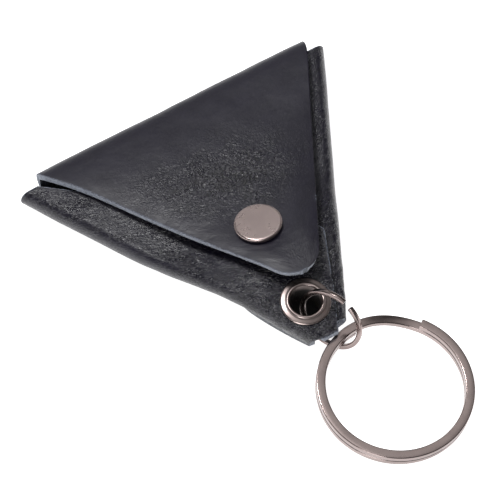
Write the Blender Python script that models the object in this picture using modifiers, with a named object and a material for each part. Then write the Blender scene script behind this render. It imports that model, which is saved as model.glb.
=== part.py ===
"""Guitar pick holder: a triangular leather pouch with a snap flap, on a jump ring and a split key ring.

Frame: +Z up, the pouch lies on the plane z = 0. The origin is the middle of the back's flat part.
The flap folds along X at the +Y end, and the narrow end with the eyelet points along -Y.
"""
import math

import bmesh
import bpy
from mathutils import Matrix, Vector

MM = 0.001

# Leather, one sheet cut to shape and folded
LEATHER = 1.5 * MM            # thickness
PLY_GAP = 0.3 * MM            # air between two plies that lie on each other
FOLD_Y = 14.1 * MM            # where the flat back meets the flap's fold
APEX_Y = -49.0 * MM           # cut end of the top wing
INNER_APEX_Y = -46.2 * MM     # cut end of the two plies below it
CORNER_HALF = 37.3 * MM       # half width over the side folds at FOLD_Y
APEX_HALF = 4.0 * MM          # the same at APEX_Y
BEND_Y = -11.0 * MM           # the back is flat from FOLD_Y to here
CREST_Y = -34.0 * MM          # and arches up to its crest here
CREST_Z = 4.3 * MM
APEX_Z = 3.3 * MM

# Heights above the back's underside, from FOLD_Y to APEX_Y: (y, under the lower wing, top of side fold)
WING_HEIGHTS = (
    (14.1 * MM, 3.1 * MM, 4.9 * MM),
    (3.0 * MM, 3.6 * MM, 5.6 * MM),
    (-21.0 * MM, 3.2 * MM, 5.5 * MM),
    (-32.0 * MM, 2.4 * MM, 5.3 * MM),
    (-37.0 * MM, 1.8 * MM, 5.2 * MM),
    (-49.0 * MM, 1.8 * MM, 5.1 * MM),
)
# Inner cut edges of the two wings, seen from above: (y, how far past the middle line the wing reaches)
UPPER_WING_REACH = (
    (13.7 * MM, -33.0 * MM),
    (-7.0 * MM, -9.5 * MM),
    (-20.5 * MM, 8.0 * MM),
    (-28.0 * MM, 11.2 * MM),
    (-39.5 * MM, 6.4 * MM),
    (-49.0 * MM, 1.8 * MM),
)
LOWER_WING_REACH = (
    (13.7 * MM, -33.0 * MM),
    (-7.0 * MM, -9.5 * MM),
    (-18.0 * MM, 3.0 * MM),
    (-25.0 * MM, 4.5 * MM),
    (-39.5 * MM, 5.2 * MM),
    (-49.0 * MM, 1.8 * MM),
)

# Flap
SPINE_Z = 7.0 * MM            # outer height of the fold
SPINE_OUT = 2.6 * MM          # how far the fold bulges past FOLD_Y
FLAP_HALF = 31.5 * MM         # half length of the fold
FLAP_TIP_X = 1.6 * MM         # where the two free edges would meet, and the middle of the fold
FLAP_TIP_Y = -42.65 * MM
FLAP_TIP_R = 6.0 * MM         # rounding there
FLAP_FLARE = 1.6 * MM         # how far the left edge spreads at the fold
FLAP_DROOP = 0.9 * MM         # how far its free edges hang below the middle
FOLD_SPLIT = math.radians(3.5)    # the fold is parted this far either side of its hinge line

# Air between a metal piece and the leather it is riveted to
SEAT_GAP = 0.2 * MM

# Snap fastener, 10 mm cap
FASTENER_X = -0.7 * MM        # the snap and the eyelet stand a little left of the middle
SNAP_Y = -22.8 * MM           # where its axis leaves the upper wing
SNAP_LEAN = math.radians(12.0)
SNAP_SPACE = 2.5 * MM         # from the upper wing to the flap along that axis
CAP_R = 4.95 * MM
CAP_T = 1.1 * MM
POST_R = 0.95 * MM
SOCKET_R = 3.6 * MM
STUD_R = 3.8 * MM
KNOB_R = 1.75 * MM

# Eyelet, 6.4 mm hole
EYE_Y = -40.3 * MM
EYE_LEAN = math.radians(-6.0)
HOLE_R = 3.25 * MM
FLANGE_R = 5.2 * MM
BARREL_T = 0.4 * MM

# Jump ring, 14.5 mm outside
JUMP_R = 6.7 * MM
JUMP_WIRE_R = 0.58 * MM
JUMP_CENTRE = Vector((2.2, -45.5, 7.2)) * MM
JUMP_PLANE_OUT = Vector((0.33, -0.90, -0.28)).normalized()   # in its plane, away from the pouch
JUMP_PLANE_UP = Vector((0.36, -0.16, 0.92)).normalized()     # in its plane, up
JUMP_PIVOT = Vector((-0.88, -39.69, 5.96)) * MM    # on its wire, inside the eyelet
JUMP_GAP_AT = math.radians(84.0)
JUMP_GAP_HALF = math.radians(7.0)

# Split key ring, 32 mm outside, two turns of flat wire
KEY_R = 16.0 * MM
KEY_WIDTH = 1.9 * MM
KEY_TURN = 1.4 * MM           # height of one turn
KEY_PITCH = 1.55 * MM         # rise between the turns
KEY_CENTRE = Vector((6.1, -63.45, 1.75)) * MM
KEY_TILT_X = math.radians(5.0)    # its near side is lifted by the jump ring below it
KEY_TILT_Y = math.radians(3.0)
KEY_LOWER_END = math.radians(92.0)
KEY_STEP = math.radians(51.0)
KEY_END_GAP = math.radians(3.0)
KEY_LINK_AT = math.radians(102.4)
KEY_EDGE = 0.2 * MM           # bevel of the outer edges

ROUND_STEPS = 24


# ---------------------------------------------------------------- scene and materials

def clear_scene():
    for old in list(bpy.data.objects):
        bpy.data.objects.remove(old)


def collection(name):
    group = bpy.data.collections.new(name)
    bpy.context.scene.collection.children.link(group)
    return group


def material(name, colour, roughness, metallic):
    mat = bpy.data.materials.new(name)
    mat.use_nodes = True
    shader = mat.node_tree.nodes["Principled BSDF"]
    shader.inputs["Base Color"].default_value = (*colour, 1.0)
    shader.inputs["Roughness"].default_value = roughness
    shader.inputs["Metallic"].default_value = metallic
    mat.diffuse_color = (*colour, 1.0)
    return mat


clear_scene()
PARTS = collection("pick_holder")
CUTTERS = collection("cutters")
LEATHER_BLACK = material("black_leather", (0.035, 0.036, 0.040), 0.45, 0.0)
GUNMETAL = material("gunmetal", (0.42, 0.39, 0.38), 0.28, 1.0)
SPRING_STEEL = material("spring_steel", (0.55, 0.55, 0.56), 0.30, 1.0)


# ---------------------------------------------------------------- curves of the design

def ease(t):
    t = min(max(t, 0.0), 1.0)
    return 0.5 - 0.5 * math.cos(math.pi * t)


def along(table, y, column):
    """Value of a (y, value, ...) table at y, joined by smooth steps; the table runs from +Y to -Y."""
    if y >= table[0][0]:
        return table[0][column]
    for (y0, *a), (y1, *b) in zip(table, table[1:]):
        if y >= y1:
            return a[column - 1] + (b[column - 1] - a[column - 1]) * (y0 - y) / (y0 - y1)
    return table[-1][column]


def smooth_along(table, y, column):
    """The same table, rounded at its corners by averaging over a short stretch."""
    reach = 4.0 * MM
    samples = [along(table, y + reach * k / 4.0, column) for k in range(-4, 5)]
    return sum(samples) / len(samples)


def back_height(y):
    """Height of the back's underside: flat, then arched up towards the eyelet."""
    if y > CREST_Y:
        return CREST_Z * ease((BEND_Y - y) / (BEND_Y - CREST_Y))
    return CREST_Z + (APEX_Z - CREST_Z) * ease((CREST_Y - y) / (CREST_Y - APEX_Y))


def half_width(y):
    """Half width over the side folds."""
    return APEX_HALF + (CORNER_HALF - APEX_HALF) * (y - APEX_Y) / (FOLD_Y - APEX_Y)


def fold_run(y):
    """How far the round side fold reaches in from the outermost line."""
    return 0.5 * smooth_along(WING_HEIGHTS, y, 2) * 0.9


def pressed(y):
    """How flat the eyelet presses the wings: 0 away from it, 1 beside it."""
    return ease((-29.0 * MM - y) / (8.0 * MM))


def flat_share(y):
    """How much of a wing's width lies flat."""
    return 0.35 + 0.3 * pressed(y)


def lower_wing_top(x, y):
    """Top of the lower (+X) wing's flat stretch: down from the side fold to the middle."""
    edge = half_width(y) - fold_run(y)
    flat = flat_share(y)
    middle = smooth_along(WING_HEIGHTS, y, 1) + LEATHER
    side = min(smooth_along(WING_HEIGHTS, y, 2), middle + 0.5 * MM * (1.0 - pressed(y)))
    return back_height(y) + middle + (side - middle) * ease((x / edge - flat) / (1.0 - flat))


def upper_wing_top(x, y):
    """Top of the upper (-X) wing: its own fold on the left, and one ply above the lower wing."""
    edge = half_width(y) - fold_run(y)
    side = back_height(y) + smooth_along(WING_HEIGHTS, y, 2)
    over = lower_wing_top(max(x, 0.0), y) + PLY_GAP + LEATHER
    flat = flat_share(y)
    return over + (side - over) * ease((-x / edge - flat) / (1.0 - flat))


def snap_axis():
    """Where the snap stands on the upper wing, and which way it points."""
    foot = Vector((FASTENER_X, SNAP_Y, upper_wing_top(FASTENER_X, SNAP_Y)))
    axis = Vector((0.0, math.sin(SNAP_LEAN), math.cos(SNAP_LEAN)))
    return foot, axis


def flap_heights():
    """Top of the flap on its middle line: up from the fold, square to the snap, and down at the tip."""
    foot, axis = snap_axis()
    over = foot + axis * (SNAP_SPACE + LEATHER)
    rise = math.tan(SNAP_LEAN)
    return (
        (FOLD_Y, SPINE_Z),
        (FOLD_Y - 7.0 * MM, SPINE_Z + 1.3 * MM),
        (over.y + 9.0 * MM, over.z - 9.0 * MM * rise),
        (over.y - 9.0 * MM, over.z + 9.0 * MM * rise),
        (over.y - 12.0 * MM, over.z + 9.2 * MM * rise),
        (over.y - 17.0 * MM, over.z + 6.5 * MM * rise),
    )


def flap_edges(y):
    """The flap's left and right free edges at y, with the rounded tip, and the y of the tip's end."""
    slope = FLAP_HALF / (FOLD_Y - FLAP_TIP_Y)
    half_angle = math.atan(slope)
    centre_y = FLAP_TIP_Y + FLAP_TIP_R / math.sin(half_angle)
    half = slope * (y - FLAP_TIP_Y)
    if y < centre_y - FLAP_TIP_R * math.sin(half_angle):
        dy = max(y - centre_y, -FLAP_TIP_R)
        half = math.sqrt(FLAP_TIP_R ** 2 - dy ** 2)
    flare = FLAP_FLARE * math.exp((y - FOLD_Y) / (4.0 * MM))
    return FLAP_TIP_X - half - flare, FLAP_TIP_X + half, centre_y - FLAP_TIP_R


def flap_top(x, y):
    left, right, _ = flap_edges(y)
    middle = 0.5 * (left + right)
    side = (x - middle) / max(0.5 * (right - left), MM)
    fade = ease((FOLD_Y - y) / (20.0 * MM))
    hang = max(abs(side) - 0.45, 0.0) / 0.55
    return smooth_along(flap_heights(), y, 1) - FLAP_DROOP * fade * hang ** 2


# ---------------------------------------------------------------- mesh helpers

def link(obj, group, mat=None):
    """Put an object in its collection, with its material."""
    group.objects.link(obj)
    if mat:
        obj.data.materials.append(mat)
    return obj


def sheet(name, rows, mat, thickness, offset):
    """A closed leather ply from a grid of points, thickened by Solidify."""
    mesh = bpy.data.meshes.new(name)
    bm = bmesh.new()
    grid = [[bm.verts.new(p) for p in row] for row in rows]
    for upper, lower in zip(grid, grid[1:]):
        for a, b, c, d in zip(upper, upper[1:], lower[1:], lower):
            bm.faces.new((a, b, c, d))
    bm.to_mesh(mesh)
    bm.free()
    mesh.shade_smooth()
    obj = link(bpy.data.objects.new(name, mesh), PARTS, mat)
    solid = obj.modifiers.new("thickness", "SOLIDIFY")
    solid.thickness = thickness
    solid.offset = offset
    solid.use_even_offset = True
    return obj


def turned(name, profile, mat, place):
    """A turned piece: a closed (radius, height) outline, spun with Screw."""
    mesh = bpy.data.meshes.new(name)
    points = [Vector((r, 0.0, z)) for r, z in profile]
    count = len(points)
    on_axis = profile[0][0] == 0.0 and profile[-1][0] == 0.0
    edges = [(i, i + 1) for i in range(count - 1)]
    if not on_axis:
        edges.append((count - 1, 0))
    mesh.from_pydata(points, edges, [])
    obj = link(bpy.data.objects.new(name, mesh), PARTS, mat)
    spin = obj.modifiers.new("spin", "SCREW")
    spin.steps = ROUND_STEPS
    spin.render_steps = ROUND_STEPS
    spin.use_merge_vertices = True
    spin.merge_threshold = 0.00001
    spin.use_smooth_shade = True
    obj.matrix_world = place
    return obj


def leaning(foot, lean, up=0.0):
    """Place of a fastener: its axis leans about X through foot, and the piece sits up along it."""
    return Matrix.Translation(foot) @ Matrix.Rotation(-lean, 4, "X") @ Matrix.Translation((0.0, 0.0, up))


def cut_away(target, name, bm):
    """Take the shape in bm out of a ply."""
    mesh = bpy.data.meshes.new(name)
    bm.to_mesh(mesh)
    bm.free()
    cutter = link(bpy.data.objects.new(name, mesh), CUTTERS)
    cutter.hide_render = True
    cutter.display_type = "WIRE"
    cut = target.modifiers.new(name, "BOOLEAN")
    cut.operation = "DIFFERENCE"
    cut.solver = "EXACT"
    cut.object = cutter


def bore(target, name, radius, place):
    """Drill a round hole through a ply."""
    bm = bmesh.new()
    depth = 30.0 * MM
    bmesh.ops.create_cone(
        bm, cap_ends=True, segments=ROUND_STEPS, radius1=radius, radius2=radius, depth=depth, matrix=place)
    cut_away(target, name, bm)


def trim_box(target, name, low, high):
    """Take a box-shaped corner out of a ply."""
    bm = bmesh.new()
    middle = (Vector(low) + Vector(high)) / 2.0
    sides = Matrix.Diagonal((*(Vector(high) - Vector(low)), 1.0))
    bmesh.ops.create_cube(bm, size=1.0, matrix=Matrix.Translation(middle) @ sides)
    cut_away(target, name, bm)


def wire(name, points, radius, mat):
    """Round wire along the points."""
    curve = bpy.data.curves.new(name, "CURVE")
    curve.dimensions = "3D"
    curve.bevel_depth = radius
    curve.bevel_resolution = 2
    curve.use_fill_caps = True
    spline = curve.splines.new("POLY")
    spline.points.add(len(points) - 1)
    for knot, p in zip(spline.points, points):
        knot.co = (*p, 1.0)
    return link(bpy.data.objects.new(name, curve), PARTS, mat)


def axis_on(name, place, pieces):
    """An empty on a joint's axis that carries the pieces that turn about it; they stay where they are."""
    pin = link(bpy.data.objects.new(name, None), PARTS)
    pin.empty_display_size = 5.0 * MM
    pin.matrix_world = Matrix.Translation(place)
    for piece in pieces:
        piece.parent = pin
        piece.matrix_parent_inverse = pin.matrix_world.inverted()


# ---------------------------------------------------------------- leather

def rows_between(y_start, y_end, count):
    return [y_start + (y_end - y_start) * i / (count - 1) for i in range(count)]


def make_back_panel():
    """The back, flat under the pocket and arched towards the eyelet."""
    rows = []
    for y in rows_between(FOLD_Y - 0.6 * MM, INNER_APEX_Y, 17):
        reach = half_width(y) - fold_run(y) - 0.5 * MM
        rows.append([(reach * (i / 4.0 - 1.0), y, back_height(y)) for i in range(9)])
    return sheet("back_panel", rows, LEATHER_BLACK, LEATHER, -1.0)


def wing_row(y, sign, top, reach_table):
    """One section of a wing: round the side fold from the bottom, then flat to the cut edge."""
    run = fold_run(y)
    edge = half_width(y) - run
    low = back_height(y)
    high = top(sign * edge, y)
    rise = 0.5 * (high - low)
    points = []
    for i in range(7):
        a = math.radians(-84.0 + 168.0 * i / 6.0)
        points.append((sign * (edge + run * math.cos(a)), y, low + rise + rise * math.sin(a)))
    reach = -sign * along(reach_table, y, 1)
    start = sign * edge
    for i in range(1, 8):
        x = start + (reach - start) * i / 7.0
        points.append((x, y, top(x, y)))
    return points


def make_wing(name, sign, top, reach_table, end_y):
    rows = [wing_row(y, sign, top, reach_table) for y in rows_between(FOLD_Y - 0.6 * MM, end_y, 19)]
    if sign > 0:
        rows = [row[::-1] for row in rows]
    return sheet(name, rows, LEATHER_BLACK, LEATHER, 1.0)


def spine_point(a):
    """The round fold at the flap's end, a = -90 degrees at the bottom to +90 at the top."""
    rise = 0.5 * SPINE_Z
    return FOLD_Y + SPINE_OUT * math.cos(a), rise + rise * math.sin(a)


def make_spine():
    """The lower half of the fold, which stays with the pouch."""
    left, right, _ = flap_edges(FOLD_Y)
    rows = []
    for a in [math.radians(d) for d in (-78.0, -58.0, -38.0, -20.0, -5.0)] + [-FOLD_SPLIT]:
        y, z = spine_point(a)
        rows.append([(left + (right - left) * k / 6.0, y, z) for k in range(7)])
    return sheet("fold_spine", rows, LEATHER_BLACK, LEATHER, 1.0)


def make_flap():
    """The upper half of the fold and the flap, which swing together about the fold's outer line."""
    left, right, tip_y = flap_edges(FOLD_Y)
    rows = []
    for a in [FOLD_SPLIT] + [math.radians(d) for d in (5.0, 20.0, 38.0, 58.0, 78.0)]:
        y, z = spine_point(a)
        rows.append([(left + (right - left) * k / 8.0, y, z) for k in range(9)])
    straight = rows_between(FOLD_Y - 2.0 * MM, tip_y + FLAP_TIP_R, 15)
    round_end = [tip_y + FLAP_TIP_R * (1.0 - math.sin(math.radians(a))) for a in (20, 38, 54, 68, 80)]
    for y in straight + round_end:
        left, right, _ = flap_edges(y)
        xs = [left + (right - left) * k / 8.0 for k in range(9)]
        rows.append([(x, y, flap_top(x, y)) for x in xs])
    return sheet("flap", rows, LEATHER_BLACK, LEATHER, 1.0)


# ---------------------------------------------------------------- snap fastener and eyelet

def make_snap_top():
    """The cap on the flap, its socket below the flap, and the socket's spring: these move with the flap."""
    gap = SEAT_GAP
    foot, _ = snap_axis()
    over = leaning(foot, SNAP_LEAN, SNAP_SPACE + LEATHER)
    cap_rim = 0.45 * MM
    cap = turned("snap_cap", [
        (0.0, gap + CAP_T),
        (CAP_R - cap_rim, gap + CAP_T),
        (CAP_R - 0.12 * MM, gap + CAP_T - 0.18 * MM),
        (CAP_R, gap + CAP_T - cap_rim),
        (CAP_R - 0.1 * MM, gap + 0.15 * MM),
        (CAP_R - 0.3 * MM, gap),
        (POST_R, gap),
        (POST_R, -LEATHER - 0.35 * MM),
        (0.0, -LEATHER - 0.35 * MM),
    ], GUNMETAL, over)

    under = leaning(foot, SNAP_LEAN, SNAP_SPACE)
    mouth = KNOB_R + 0.4 * MM
    groove = KNOB_R + 0.95 * MM
    roof = gap + 0.25 * MM
    socket = turned("snap_socket", [
        (SOCKET_R, -gap),
        (SOCKET_R, -gap - 0.35 * MM),
        (SOCKET_R - 0.5 * MM, -gap - 0.45 * MM),
        (SOCKET_R - 0.5 * MM, -1.7 * MM),
        (mouth, -1.7 * MM),
        (mouth, -1.4 * MM),
        (groove, -1.4 * MM),
        (groove, -roof - 0.2 * MM),
        (mouth, -roof),
        (POST_R + 0.3 * MM, -roof),
        (POST_R + 0.3 * MM, -gap),
    ], GUNMETAL, under)
    spring_r = KNOB_R + 0.55 * MM
    turns = [math.radians(a) for a in range(15, 346, 15)]
    coil = [(spring_r * math.cos(a), spring_r * math.sin(a), -1.05 * MM) for a in turns]
    spring = wire("socket_spring", coil, 0.2 * MM, SPRING_STEEL)
    spring.matrix_world = under
    return [cap, socket, spring]


def make_snap_base():
    """The stud stands on the two wings, and its post holds them from below."""
    gap = SEAT_GAP
    foot, _ = snap_axis()
    plies = 2.0 * LEATHER + PLY_GAP
    above = leaning(foot, SNAP_LEAN)
    turned("snap_stud", [
        (KNOB_R - 0.3 * MM, gap + 1.45 * MM),
        (KNOB_R, gap + 1.2 * MM),
        (KNOB_R, gap + 0.9 * MM),
        (KNOB_R - 0.25 * MM, gap + 0.7 * MM),
        (KNOB_R - 0.25 * MM, gap + 0.35 * MM),
        (STUD_R - 0.4 * MM, gap + 0.35 * MM),
        (STUD_R, gap),
        (POST_R + 0.25 * MM, gap),
        (POST_R + 0.25 * MM, gap + 1.45 * MM),
    ], GUNMETAL, above)
    turned("stud_post", [
        (0.0, gap + 1.2 * MM),
        (POST_R, gap + 1.2 * MM),
        (POST_R, -plies - gap),
        (STUD_R, -plies - gap),
        (STUD_R, -plies - gap - 0.45 * MM),
        (STUD_R - 0.3 * MM, -plies - gap - 0.65 * MM),
        (0.0, -plies - gap - 0.65 * MM),
    ], GUNMETAL, above)


def eyelet_foot():
    """Where the eyelet's axis leaves the upper wing."""
    return Vector((FASTENER_X, EYE_Y, upper_wing_top(FASTENER_X, EYE_Y)))


def make_eyelet():
    """A flanged barrel through the three plies, curled over a washer at the back."""
    depth = 3.0 * LEATHER + 2.0 * PLY_GAP + 0.25 * MM
    gap = SEAT_GAP
    place = leaning(eyelet_foot(), EYE_LEAN)
    outer = HOLE_R + BARREL_T
    end = -depth - 0.8 * MM
    turned("eyelet", [
        (HOLE_R + 0.05 * MM, gap + 0.55 * MM),
        (HOLE_R + 0.4 * MM, gap + 0.72 * MM),
        (HOLE_R + 0.75 * MM, gap + 0.5 * MM),
        (FLANGE_R - 0.15 * MM, gap + 0.25 * MM),
        (FLANGE_R, gap + 0.05 * MM),
        (FLANGE_R - 0.1 * MM, gap),
        (outer, gap),
        (outer, end + 0.25 * MM),
        (outer + 0.55 * MM, end + 0.25 * MM),
        (outer + 0.55 * MM, end),
        (HOLE_R, end),
    ], GUNMETAL, place)
    turned("eyelet_washer", [
        (outer + 0.2 * MM, -depth - gap),
        (FLANGE_R - 0.3 * MM, -depth - gap),
        (FLANGE_R - 0.3 * MM, -depth - gap - 0.3 * MM),
        (outer + 0.2 * MM, -depth - gap - 0.3 * MM),
    ], GUNMETAL, place)


def drill_leather(plies):
    """Holes for the snap's two posts and for the eyelet's barrel."""
    snap_place = leaning(snap_axis()[0], SNAP_LEAN)
    eye_place = leaning(eyelet_foot(), EYE_LEAN)
    for name in ("flap", "left_wing", "right_wing"):
        bore(plies[name], "cut_" + name + "_snap", POST_R + 0.35 * MM, snap_place)
    for name in ("left_wing", "right_wing", "back_panel"):
        bore(plies[name], "cut_" + name + "_eye", HOLE_R + BARREL_T + 0.3 * MM, eye_place)


def trim_apex(top_ply):
    """The upper wing's end overhangs the lower plies, so that the key ring swings under it."""
    under = APEX_Z + along(WING_HEIGHTS, APEX_Y, 1) + LEATHER + PLY_GAP
    trim_box(
        top_ply, "cut_left_wing_end",
        (-2.0 * CORNER_HALF, APEX_Y - 10.0 * MM, -10.0 * MM), (2.0 * CORNER_HALF, INNER_APEX_Y, under))


# ---------------------------------------------------------------- rings

def make_jump_ring():
    """Round wire bent to a circle that isn't quite closed; its origin is where it passes the eyelet."""
    out = JUMP_PLANE_OUT
    up = (JUMP_PLANE_UP - out * JUMP_PLANE_UP.dot(out)).normalized()
    count = 34
    first = JUMP_GAP_AT + JUMP_GAP_HALF
    sweep = 2.0 * (math.pi - JUMP_GAP_HALF)
    points = []
    for i in range(count + 1):
        a = first + sweep * i / count
        points.append(JUMP_CENTRE + JUMP_R * (math.cos(a) * out + math.sin(a) * up) - JUMP_PIVOT)
    ring = wire("jump_ring", points, JUMP_WIRE_R, GUNMETAL)
    ring.matrix_world = Matrix.Translation(JUMP_PIVOT)


def key_ring_place():
    tilt = Matrix.Rotation(KEY_TILT_Y, 4, "Y") @ Matrix.Rotation(KEY_TILT_X, 4, "X")
    return Matrix.Translation(KEY_CENTRE) @ tilt


def key_ring_link():
    """Where the key ring passes through the jump ring."""
    middle = KEY_R - 0.5 * KEY_WIDTH
    return key_ring_place() @ Vector((
        middle * math.cos(KEY_LINK_AT), middle * math.sin(KEY_LINK_AT), 0.5 * (KEY_PITCH + KEY_TURN)))


def make_key_ring():
    """Two turns of flat wire: the lower turn steps up into the upper one over KEY_STEP."""
    middle = KEY_R - 0.5 * KEY_WIDTH
    total = 4.0 * math.pi - KEY_STEP - KEY_END_GAP
    count = 80
    half = 0.5 * KEY_WIDTH
    section = [
        (-half, 0.0),
        (half - KEY_EDGE, 0.0),
        (half, KEY_EDGE),
        (half, KEY_TURN - KEY_EDGE),
        (half - KEY_EDGE, KEY_TURN),
        (-half, KEY_TURN),
    ]
    bm = bmesh.new()
    loops = []
    for i in range(count + 1):
        a = total * i / count
        rise = KEY_PITCH * ease((a - (2.0 * math.pi - KEY_STEP)) / KEY_STEP)
        turn = KEY_LOWER_END + a
        loops.append([
            bm.verts.new(((middle + r) * math.cos(turn), (middle + r) * math.sin(turn), rise + z))
            for r, z in section])
    size = len(section)
    for near, far in zip(loops, loops[1:]):
        for k in range(size):
            bm.faces.new((near[k], far[k], far[(k + 1) % size], near[(k + 1) % size]))
    bm.faces.new(loops[0])
    bm.faces.new(loops[-1][::-1])
    bmesh.ops.recalc_face_normals(bm, faces=bm.faces)
    mesh = bpy.data.meshes.new("key_ring")
    bm.to_mesh(mesh)
    bm.free()
    mesh.shade_smooth()
    mesh.set_sharp_from_angle(angle=math.radians(30.0))
    ring = link(bpy.data.objects.new("key_ring", mesh), PARTS, GUNMETAL)
    ring.matrix_world = key_ring_place()
    return ring


# ---------------------------------------------------------------- assembly

def main():
    plies = {
        "back_panel": make_back_panel(),
        "right_wing": make_wing("right_wing", 1.0, lower_wing_top, LOWER_WING_REACH, INNER_APEX_Y),
        "left_wing": make_wing("left_wing", -1.0, upper_wing_top, UPPER_WING_REACH, APEX_Y),
        "fold_spine": make_spine(),
        "flap": make_flap(),
    }
    drill_leather(plies)
    trim_apex(plies["left_wing"])
    make_snap_base()
    flap_line = (FLAP_TIP_X, FOLD_Y + SPINE_OUT, 0.5 * SPINE_Z)
    axis_on("flap_hinge_line", flap_line, [plies["flap"]] + make_snap_top())
    make_eyelet()
    make_jump_ring()
    axis_on("key_ring_link", key_ring_link(), [make_key_ring()])


main()
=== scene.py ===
"""Pick holder: the looks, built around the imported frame.

A black leather pouch folded from one sheet, a snap, an eyelet, a jump ring and a split key ring.
Same frame as the CAD: metres, +Z up, the pouch lies on z = 0, its fold is at +Y and its eyelet at -Y.
"""
import math

import bmesh
import bpy
import numpy as np
from mathutils import Matrix, Vector


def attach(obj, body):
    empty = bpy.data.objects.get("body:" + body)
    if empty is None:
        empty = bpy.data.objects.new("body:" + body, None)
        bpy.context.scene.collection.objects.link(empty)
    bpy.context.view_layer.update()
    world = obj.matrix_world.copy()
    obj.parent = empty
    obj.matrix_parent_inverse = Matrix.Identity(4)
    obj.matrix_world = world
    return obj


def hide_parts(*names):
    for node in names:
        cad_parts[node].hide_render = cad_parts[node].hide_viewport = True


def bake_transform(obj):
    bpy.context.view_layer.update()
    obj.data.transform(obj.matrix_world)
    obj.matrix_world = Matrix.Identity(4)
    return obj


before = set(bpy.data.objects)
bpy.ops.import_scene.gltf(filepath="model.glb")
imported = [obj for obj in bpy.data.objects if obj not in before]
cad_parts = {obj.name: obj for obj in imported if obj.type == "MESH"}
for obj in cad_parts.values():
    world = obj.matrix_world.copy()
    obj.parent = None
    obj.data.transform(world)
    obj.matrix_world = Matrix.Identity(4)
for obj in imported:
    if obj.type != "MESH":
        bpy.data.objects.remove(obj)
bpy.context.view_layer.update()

MM = 0.001
RNG = np.random.RandomState(7)

# ---------------------------------------------------------------- the design, as in the CAD (mm)

LEATHER = 1.5
PLY_GAP = 0.3
FOLD_Y = 14.1
APEX_Y = -49.0
INNER_APEX_Y = -46.2
MOUTH_Y = FOLD_Y - 0.55
CORNER_HALF = 37.3
APEX_HALF = 4.0
BEND_Y = -11.0
CREST_Y = -34.0
CREST_Z = 4.3
APEX_Z = 3.3
# y, height of the pocket in the middle, height at the side folds
WING_HEIGHTS = np.array([
    (14.1, 3.1, 4.9), (3.0, 3.6, 5.6), (-21.0, 3.2, 5.5),
    (-32.0, 2.4, 5.3), (-37.0, 1.8, 5.2), (-49.0, 1.8, 5.1)])
# y, how far the wing reaches past the middle
UPPER_WING_REACH = np.array([
    (13.7, -33.0), (-7.0, -9.5), (-20.5, 8.0), (-28.0, 11.2), (-39.5, 6.4), (-49.0, 1.8)])
LOWER_WING_REACH = np.array([
    (13.7, -33.0), (-7.0, -9.5), (-18.0, 3.0), (-25.0, 4.5), (-39.5, 5.2), (-49.0, 1.8)])

SPINE_Z = 7.0
SPINE_OUT = 2.6
FLAP_HALF = 31.5
FLAP_TIP_X = 1.6
FLAP_TIP_Y = -42.65
FLAP_TIP_R = 6.0
FLAP_FLARE = 1.6
FLAP_DROOP = 0.9

FASTENER_X = -0.7
SEAT_GAP = 0.2
SNAP_Y = -22.8
SNAP_LEAN = math.radians(12.0)
SNAP_SPACE = 2.5
CAP_R = 4.95
CAP_T = 1.1
POST_R = 0.95
SOCKET_R = 3.6
STUD_R = 3.8
KNOB_R = 1.75

EYE_Y = -40.3
EYE_LEAN = math.radians(-6.0)
HOLE_R = 3.25
FLANGE_R = 5.2
BARREL_T = 0.4

JUMP_R = 6.7
JUMP_CENTRE = np.array((2.2, -45.5, 7.2))
JUMP_PLANE_OUT = (0.33, -0.90, -0.28)
JUMP_PLANE_UP = (0.36, -0.16, 0.92)
JUMP_GAP_AT = math.radians(84.0)
JUMP_GAP_HALF = math.radians(7.0)

KEY_R = 16.0
KEY_WIDTH = 1.9
KEY_TURN = 1.4
KEY_PITCH = 1.55
KEY_CENTRE = (6.1, -63.45, 1.75)
KEY_TILT_X = math.radians(5.0)
KEY_TILT_Y = math.radians(3.0)
KEY_LOWER_END = math.radians(92.0)
KEY_STEP = math.radians(51.0)
KEY_END_GAP = math.radians(3.0)

# ---------------------------------------------------------------- detail that the CAD leaves out (mm)

EDGE_RINGS = (0.06, 0.3, 0.55, 0.8, 0.95)
EDGE_SWELL = 0.05
EDGE_ROUGHNESS = 0.07
FLUSH_EDGE = 4.0

POUCH_SWELL = 0.16
POUCH_FINE_SWELL = 0.03
FOLD_WRINKLE = 0.24
EYE_WRINKLE = 0.20
EYE_FLAT_R = 5.6

FLAP_SWELL = 0.13
FLAP_FINE_SWELL = 0.05
FLAP_SCUFF = 0.03
CAP_DIMPLE = 0.10
FULL_DROOP_HALF = 9.0
EASED_ROWS = slice(22, 62)
EASING_PASSES = 60

# ---------------------------------------------------------------- curves of the design


def ease(t):
    """From 0 to 1 as t goes from 0 to 1, with a level start and end."""
    return 0.5 - 0.5 * np.cos(np.pi * np.clip(t, 0.0, 1.0))


def along(table, y, column):
    """Value of a table at y; the tables run from +Y to -Y."""
    table = np.asarray(table)
    return np.interp(y, table[::-1, 0], table[::-1, column])


def smooth_along(table, y, column, reach=4.0):
    """The same, rounded at the table's corners."""
    return sum(along(table, y + reach * k / 4.0, column) for k in range(-4, 5)) / 9.0


def back_height(y):
    """The flat back, which arches up towards the eyelet."""
    rising = CREST_Z * ease((BEND_Y - y) / (BEND_Y - CREST_Y))
    falling = CREST_Z + (APEX_Z - CREST_Z) * ease((CREST_Y - y) / (CREST_Y - APEX_Y))
    return np.where(y > CREST_Y, rising, falling)


def half_width(y):
    """Half the width of the folded pouch."""
    return APEX_HALF + (CORNER_HALF - APEX_HALF) * (y - APEX_Y) / (FOLD_Y - APEX_Y)


def fold_run(y):
    """How far a side fold stands out from the flat part."""
    return 0.45 * smooth_along(WING_HEIGHTS, y, 2)


def pressed(y):
    """How far the plies are pressed together: 0 at the pocket, 1 at the eyelet."""
    return ease((-29.0 - y) / 8.0)


def flat_share(y):
    """The share of the half width over which the wings lie flat."""
    return 0.35 + 0.3 * pressed(y)


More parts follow.
